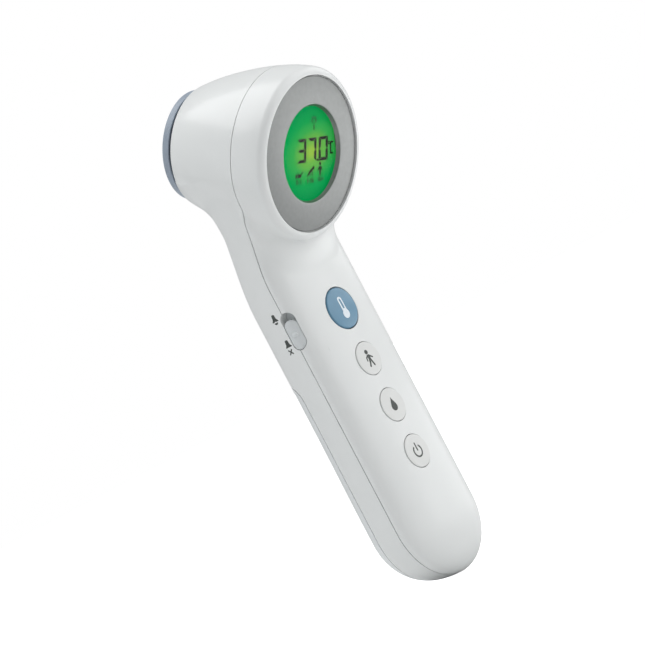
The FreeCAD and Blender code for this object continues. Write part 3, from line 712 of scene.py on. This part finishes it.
# printed marks: closed plates, fused where they overlap
def plate(pts, h0, h1):
    return prism(pts, h0, h1, IDENT)


def fuse(parts):
    base = parts[0]
    for p in parts[1:]:
        base = boolean(base, p, "UNION")
    return base


def bar(x0, y0, x1, y1, w, h0, h1, cap=True, n=6):
    a = math.atan2(y1 - y0, x1 - x0)
    d = math.degrees(a)
    if cap:
        pts = arc(x1, y1, w / 2, w / 2, d - 90, d + 90, n) + arc(x0, y0, w / 2, w / 2, d + 90, d + 270, n)
    else:
        nx, ny = -math.sin(a) * w / 2, math.cos(a) * w / 2
        pts = [(x0 - nx, y0 - ny), (x1 - nx, y1 - ny), (x1 + nx, y1 + ny), (x0 + nx, y0 + ny)]
    return plate(pts, h0, h1)


def disc(x, y, r, h0, h1, n=24, ry=None):
    return plate([(x + r * math.cos(2 * math.pi * i / n), y + (ry or r) * math.sin(2 * math.pi * i / n)) for i in range(n)], h0, h1)


def ring_arc(x, y, r, w, a0, a1, h0, h1, n=40):
    o = arc(x, y, r + w / 2, r + w / 2, a0, a1, n)
    i = arc(x, y, r - w / 2, r - w / 2, a1, a0, n)
    return plate(o + i, h0, h1)


def join(parts):
    """Several closed meshes as one, with nothing fused."""
    bm = bmesh.new()
    for p in parts:
        bm.from_mesh(p)
    me = bpy.data.meshes.new("joined")
    bm.to_mesh(me)
    bm.free()
    return me


def segments(which, x, y, w, h, t, h0, h1, lean=0.0, tv=None):
    """One seven-segment digit with its lower left corner at x, y: bars t high, uprights tv wide."""
    tv = tv or t
    g, m = min(0.09, t * 0.22), h / 2
    k, kv = t * 0.5, tv * 0.5
    shapes = {
        "a": [(g, h), (w - g, h), (w - g - tv, h - t), (g + tv, h - t)],
        "d": [(g, 0), (w - g, 0), (w - g - tv, t), (g + tv, t)],
        "g": [(g + kv, m), (g + tv, m + k), (w - g - tv, m + k), (w - g - kv, m), (w - g - tv, m - k), (g + tv, m - k)],
        "f": [(0, h - g), (0, m + g), (kv, m + g), (tv, m + g + k), (tv, h - g - t)],
        "b": [(w, h - g), (w, m + g), (w - kv, m + g), (w - tv, m + g + k), (w - tv, h - g - t)],
        "e": [(0, g), (0, m - g), (kv, m - g), (tv, m - g - k), (tv, g + t)],
        "c": [(w, g), (w, m - g), (w - kv, m - g), (w - tv, m - g - k), (w - tv, g + t)],
    }
    return [plate([(x + px + lean * py, y + py) for px, py in shapes[s]], h0, h1) for s in which]


G0, G1 = -2.21, -2.165
SEG = {"0": "abcdef", "3": "abcdg", "6": "acdefg", "7": "abc"}
marks = []
for ch, x, w in (("3", -4.85, 4.75), ("7", 0.75, 4.5), ("0", 6.45, 4.85)):
    marks += segments(SEG[ch], x, -2.85, w, 7.3, 0.98, G0, G1, 0.012, 1.2)
marks.append(disc(5.98, -2.5, 0.42, G0, G1, 12))
marks.append(ring_arc(11.95, 2.3, 0.42, 0.32, 0, 352, G0, G1, 20))
marks += [fuse([bar(12.85, -0.85, 12.85, 2.3, 0.66, G0, G1), bar(12.85, 2.4, 14.0, 2.4, 0.56, G0, G1), bar(12.85, -0.95, 13.9, -0.95, 0.56, G0, G1)])]
# lamp sign
marks.append(ring_arc(4.0, 9.6, 0.88, 0.3, -60, 240, G0, G1, 28))
for a in (0, 45, 90, 135, 180):
    c, s = math.cos(math.radians(a)), math.sin(math.radians(a))
    marks.append(bar(4.0 + 1.15 * c, 9.6 + 1.15 * s, 4.0 + 1.62 * c, 9.6 + 1.62 * s, 0.26, G0, G1))
marks.append(bar(4.0, 8.15, 4.0, 7.0, 0.55, G0, G1))
# three ages: lying, crawling, standing
marks += [disc(7.3, -3.75, 0.52, G0, G1, 16, 0.6),
          fuse([plate([(6.72, -4.55), (7.9, -4.55), (7.72, -5.9), (6.9, -5.9)], G0, G1), bar(6.75, -4.75, 6.15, -5.75, 0.36, G0, G1),
                bar(7.85, -4.75, 8.45, -5.75, 0.36, G0, G1), bar(7.08, -5.8, 6.95, -7.2, 0.42, G0, G1), bar(7.54, -5.8, 7.68, -7.2, 0.42, G0, G1)])]
marks += [disc(3.75, -4.75, 0.55, G0, G1, 16),
          fuse([bar(3.0, -5.2, 1.7, -6.0, 0.85, G0, G1), bar(1.7, -6.0, 0.75, -7.0, 0.55, G0, G1), bar(3.0, -5.3, 3.35, -7.0, 0.4, G0, G1), bar(1.8, -6.1, 2.1, -7.0, 0.4, G0, G1)])]
marks += [disc(-5.2, -6.7, 0.5, G0, G1, 16, 0.75),
          fuse([plate([(-4.5, -7.2), (-3.2, -7.35), (-2.5, -6.9), (-3.0, -6.2), (-4.4, -6.1)], G0, G1), bar(-3.0, -6.7, -1.9, -5.5, 0.42, G0, G1), bar(-4.1, -6.3, -4.5, -5.6, 0.36, G0, G1)])]


def small(text, x, y, h, G0=G0, G1=G1):
    """Small numerals, a dash and a plus."""
    w, t, tv = h * 0.6, 0.33, 0.42
    out = []
    for ch in text:
        if ch in SEG:
            out += segments(SEG[ch], x, y, w, h, t, G0, G1, 0.0, tv)
            x += w + 0.3
        elif ch == "-":
            out.append(bar(x, y + h / 2, x + 0.36, y + h / 2, t, G0, G1, False))
            x += 0.6
        elif ch == "+":
            out.append(fuse([bar(x, y + h / 2, x + 0.8, y + h / 2, t, G0, G1, False), bar(x + 0.4, y + h / 2 - 0.4, x + 0.4, y + h / 2 + 0.4, t, G0, G1, False)]))
            x += 1.0
    return out


marks += small("0-3", -5.3, -9.25, 1.45) + small("3-36", 0.2, -9.2, 1.4) + small("36+", 6.0, -9.1, 1.35)
LCD_TURN = HEAD @ Matrix.Rotation(math.radians(-11.45), 4, "Z")
add("lcd_marks", place(join(marks), LCD_TURN), "housing", (), "segment_dark")

# ---------------------------------------------------------------- nose
ring = [(13.0, -42.9), (13.0, -43.75)] + arc(13.35, -43.75, 0.35, 0.35, 180, 270, 4)[1:] \
    + [(15.9, -44.1)] + arc(15.9, -43.2, 0.9, 0.9, 270, 360, 8)[1:] + [(16.8, -41.65), (16.65, -41.5), (15.6, -41.5), (15.6, -38.6), (14.0, -38.6), (14.0, -42.5)]
add("nose_collar", lathe(ring, HEAD, 192), "housing", ("nose_ring",), "blue_grey")
gas = [(15.65, -39.95)] + arc(16.05, -40.2, 0.25, 0.25, 90, 0, 4) + arc(16.05, -41.2, 0.25, 0.25, 0, -90, 4) + [(15.65, -41.45)]
add("groove_seal", lathe(gas, HEAD, 144), "housing", ("nose_gasket",), "gasket_black")
cone = [(12.0, -43.9), (12.15, -43.98), (12.75, -43.98), (12.9, -43.9), (7.1, -36.8), (7.1, -36.0), (2.9, -36.0), (2.9, -36.8), (6.2, -36.8)]
cone_me = lathe(cone, HEAD, 144)
cone_me = boolean(cone_me, cyl(1.15, -38, -35, at(HEAD, 0, 4.6), 48))
add("reflector_cone", cone_me, "housing", ("sensor_cone",), "cone_black")
add("sensor_window", lathe([(0, -35.95), (2.6, -35.95), (2.7, -36.03), (2.7, -36.22), (2.6, -36.3), (0, -36.3)], HEAD, 72), "housing", ("infrared_filter",), "filter_glass")
add("aiming_lens", lathe([(0, -35.95), (1.1, -35.95), (1.1, -36.6), (0.8, -36.8), (0.4, -36.88), (0, -36.9)], at(HEAD, 0, 4.6), 48), "housing", ("guide_light_lens",), "lens_blue")


# ---------------------------------------------------------------- buttons
def cap_profile(r, top, crown, edge, dish=0.0):
    """A turned cap: crowned or dished top, rounded rim, flange behind the wall."""
    f = 7.8 if r > 6 else 6.4
    pts = [(0, top - dish)]
    for i in range(1, 13):
        q = (r - edge) * i / 12
        u = q / (r - edge)
        pts.append((q, top - crown * (q / r) ** 2 - dish * (1 - u * u) ** 2))
    base = pts[-1][1]
    for i in range(1, 9):
        a = math.pi / 2 * i / 8
        pts.append((r - edge + edge * math.sin(a), base - edge * (1 - math.cos(a))))
    pts += [(r, 9.75), (f, 9.75), (f, 9.1), (0, 9.1)]
    return pts


def cap_top(r, top, crown, edge, dish):
    def height(x, y):
        q = math.hypot(x, y)
        u = min(q / (r - edge), 1)
        return top - crown * (q / r) ** 2 - dish * (1 - u * u) ** 2
    return height


CAPS = {}
for name, (z, r, top) in BUTTONS.items():
    args = (r - 0.2, top - 0.2, 0.45, 0.5, 0.0) if name == "measure" else (r - 0.04, top, 0.1, 0.2, 0.0)
    CAPS[name] = cap_top(*args)
    add(name + "_cap", lathe(cap_profile(*args), at(FRONT, 0, z), 144), name + "_button",
        (name + "_button",), "blue_satin" if name == "measure" else "white_cap")


def emboss(me, height, proud=0.035, sunk=0.12):
    """Lays a flat plate (heights 0 and 1) on a curved cap."""
    for v in me.vertices:
        h = height(v.co.x, v.co.y)
        v.co.z = h + proud if v.co.z > 0.5 else h - sunk
    return me


P0, P1 = 0.0, 1.0
# thermometer sign: hollow stem over a bulb
o = arc(0, 2.55, 0.98, 0.98, 0, 180, 12) + [(-0.98, -0.9)] + arc(0, -2.1, 1.48, 1.48, 130, 410, 28) + [(0.98, -0.9)]
stem = plate(o, P0, P1)
hole = plate(arc(0, 2.5, 0.42, 0.42, 0, 180, 10) + arc(0, 0.0, 0.42, 0.42, 180, 360, 10), -1, 2)
sign = boolean(stem, hole)
add("sign_thermometer", place(emboss(sign, CAPS["measure"]), at(FRONT, 0, 33.05)), "measure_button", (), "print_white")

person = [disc(-0.12, 2.0, 0.74, P0, P1, 24),
          fuse([plate([(-0.62, 1.12), (0.5, 1.12), (0.7, 0.6), (0.55, -0.5), (-0.5, -0.5), (-0.5, 0.35)], P0, P1),
                bar(-0.3, 0.85, -1.15, 0.3, 0.5, P0, P1), bar(-1.15, 0.3, -1.28, -0.6, 0.5, P0, P1),
                bar(0.35, 0.85, 1.1, 0.25, 0.5, P0, P1), bar(1.1, 0.25, 1.65, -0.1, 0.46, P0, P1),
                bar(-0.18, -0.3, -0.45, -1.4, 0.64, P0, P1), bar(-0.45, -1.4, -1.05, -2.5, 0.6, P0, P1),
                bar(0.24, -0.3, 0.6, -1.4, 0.64, P0, P1), bar(0.6, -1.4, 1.0, -2.55, 0.6, P0, P1)])]
add("sign_person", place(emboss(join(person), CAPS["age"]), at(FRONT, 0, 15.8)), "age_button", (), "print_dark")

drop = arc(0, -0.75, 1.35, 1.35, -212, 32, 26) + [(0.78, 0.75), (0.42, 1.35), (0.0, 2.35), (-0.42, 1.35), (-0.78, 0.75)]
add("sign_drop", place(emboss(plate(drop, P0, P1), CAPS["object"]), at(FRONT, 0, 0)), "object_button", (), "print_dark")

power = [ring_arc(0, -0.15, 1.84, 0.5, 125, 415, P0, P1, 44), bar(0, 0.1, 0, 2.35, 0.5, P0, P1)]
add("sign_power", place(emboss(join(power), CAPS["power"]), at(FRONT, 0, -15.8)), "power_button", (), "print_dark")

# ---------------------------------------------------------------- sound slider and its signs
def under_skin(zone, sink):
    """The part of a zone below the grip's skin, moved in by sink."""
    skin = outer.copy()
    skin.transform(Matrix.Translation((sink, 0, 0)))
    return boolean(zone, skin, "INTERSECT")


collar = boolean(prism(stadium_pts(-6.35, 26.5, 40.7, 6.6), -17.6, -16.05), prism(stadium_pts(-6.35, 27.4, 39.8, 4.8), -21, -14))
collar = under_skin(collar, 1.3)
add("slot_collar", collar, "housing", (), "gloss_white")
slide = under_skin(prism(stadium_pts(-6.35, 27.62, 37.18, 4.4), -21, -15.9), 0.2)
for w, dz, sink in ((4.2, 0.1, 0.1), (3.94, 0.23, 0.03), (3.6, 0.4, -0.02)):
    slide = boolean(slide, under_skin(prism(stadium_pts(-6.35, 27.62 + dz, 37.18 - dz, w), -21, -17.0), sink), "UNION")
mid = 27.5 + 4.9
R13 = Matrix.Translation((-18.3, -6.5, mid)) @ Matrix.Rotation(math.radians(13), 4, "Z") @ Matrix.Translation((18.3, 6.5, -mid))
RIDGE = R13 @ Matrix.Translation((-18.55, -6.5 - 1.2, mid)) @ Matrix.Rotation(math.radians(-90), 4, "X")
ridge = lathe([(0, 0), (0.6, 0.05), (0.85, 0.2), (0.97, 0.5), (1.0, 0.8), (1.0, 1.6), (0.97, 1.9), (0.85, 2.2), (0.6, 2.35), (0, 2.4)], RIDGE, 48)
slide = boolean(slide, ridge, "UNION")
flange = prism([(-9.5, 25.3), (-3.5, 25.3), (-3.5, 41.6), (-9.5, 41.6)], -15.95, -15.2)
cavity = inner.copy()
cavity.transform(Matrix.Translation((0.15, 0.1, 0)))
flange = boolean(flange, cavity, "INTERSECT")
slide = boolean(slide, flange, "UNION")
add("sound_slider", slide, "mute_slider", ("mute_slider",), "slider_grey")


def on_side(me, yc, zc, proud=0.03, sunk=0.12):
    """Lays a flat plate on the -X flank of the grip: plate x runs towards -Y, plate y towards +Z."""
    for v in me.vertices:
        y, z = yc - v.co.x, zc + v.co.y
        top = v.co.z > 0.5
        w = abs(y - SECTION_Y) / BACK_D
        x = HALF_W * (1 - w ** BACK_N) ** (1 / BACK_N)
        n = Vector((x ** (BACK_N - 1) / HALF_W ** BACK_N, (y - SECTION_Y) ** (BACK_N - 1) / BACK_D ** BACK_N)).normalized()
        off = proud if top else -sunk
        v.co = (-(x + off * n.x), y + off * n.y, z)
    return me


flank = [(0.34, 1.62), (0.52, 1.5), (0.62, 1.25), (0.66, 0.75), (0.74, 0.25), (0.92, -0.1), (1.26, -0.42), (1.3, -0.72)]
bell = flank + [(-x, y) for x, y in reversed(flank)]
clap = plate(arc(0, -1.02, 0.74, 0.62, 180, 360, 10), P0, P1)
on1 = on_side(join([plate(bell, P0, P1), clap]), -2.15, 39.25)
on2 = on_side(plate(bell, P0, P1), -2.25, 30.6)
cross = fuse([bar(-0.78, -0.78, 0.78, 0.78, 0.42, P0, P1, False), bar(-0.78, 0.78, 0.78, -0.78, 0.42, P0, P1, False)])
on3 = on_side(cross, -2.0, 28.35)
marks_side = join([on1, on2, on3])
bm = bmesh.new()
bm.from_mesh(marks_side)
add("sign_bells", clean(bm), "housing", (), "print_dark")

# ---------------------------------------------------------------- carried-over pieces keep their shape and get their finish
FINISH = {
    "light_guide": "diffuser", "lcd_frame": "inner_white", "battery_tray": "inner_white", "backlight_leds": "led_green",
    "display_board": "board_green", "sensor_board": "board_green", "main_board": "board_green",
    "display_driver": "chip_black", "tact_switches": "chip_black", "slide_switch_lever": "chip_black", "buzzer": "chip_black",
    "controller_chip": "chip_black", "board_components": "chip_black", "measure_plunger": "chip_black", "age_plunger": "chip_black",
    "object_plunger": "chip_black", "power_plunger": "chip_black", "sensor_holder": "inner_black", "thermopile": "sensor_can",
    "slide_switch": "steel", "aa_cells": "cell_jacket", "contact_springs": "nickel_plate", "contact_plates": "nickel_plate",
    "housing_screws": "zinc_screw", "board_screws": "zinc_screw", "display_flex": "flex_amber", "sensor_flex": "flex_amber",
}
for node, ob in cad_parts.items():
    if ob.hide_render:
        continue
    m = MATS[FINISH.get(node, "inner_white")]
    if len(ob.material_slots) == 0:
        ob.data.materials.append(m)
    for s in ob.material_slots:
        s.material = m

print("left over meshes", len(bpy.data.meshes))
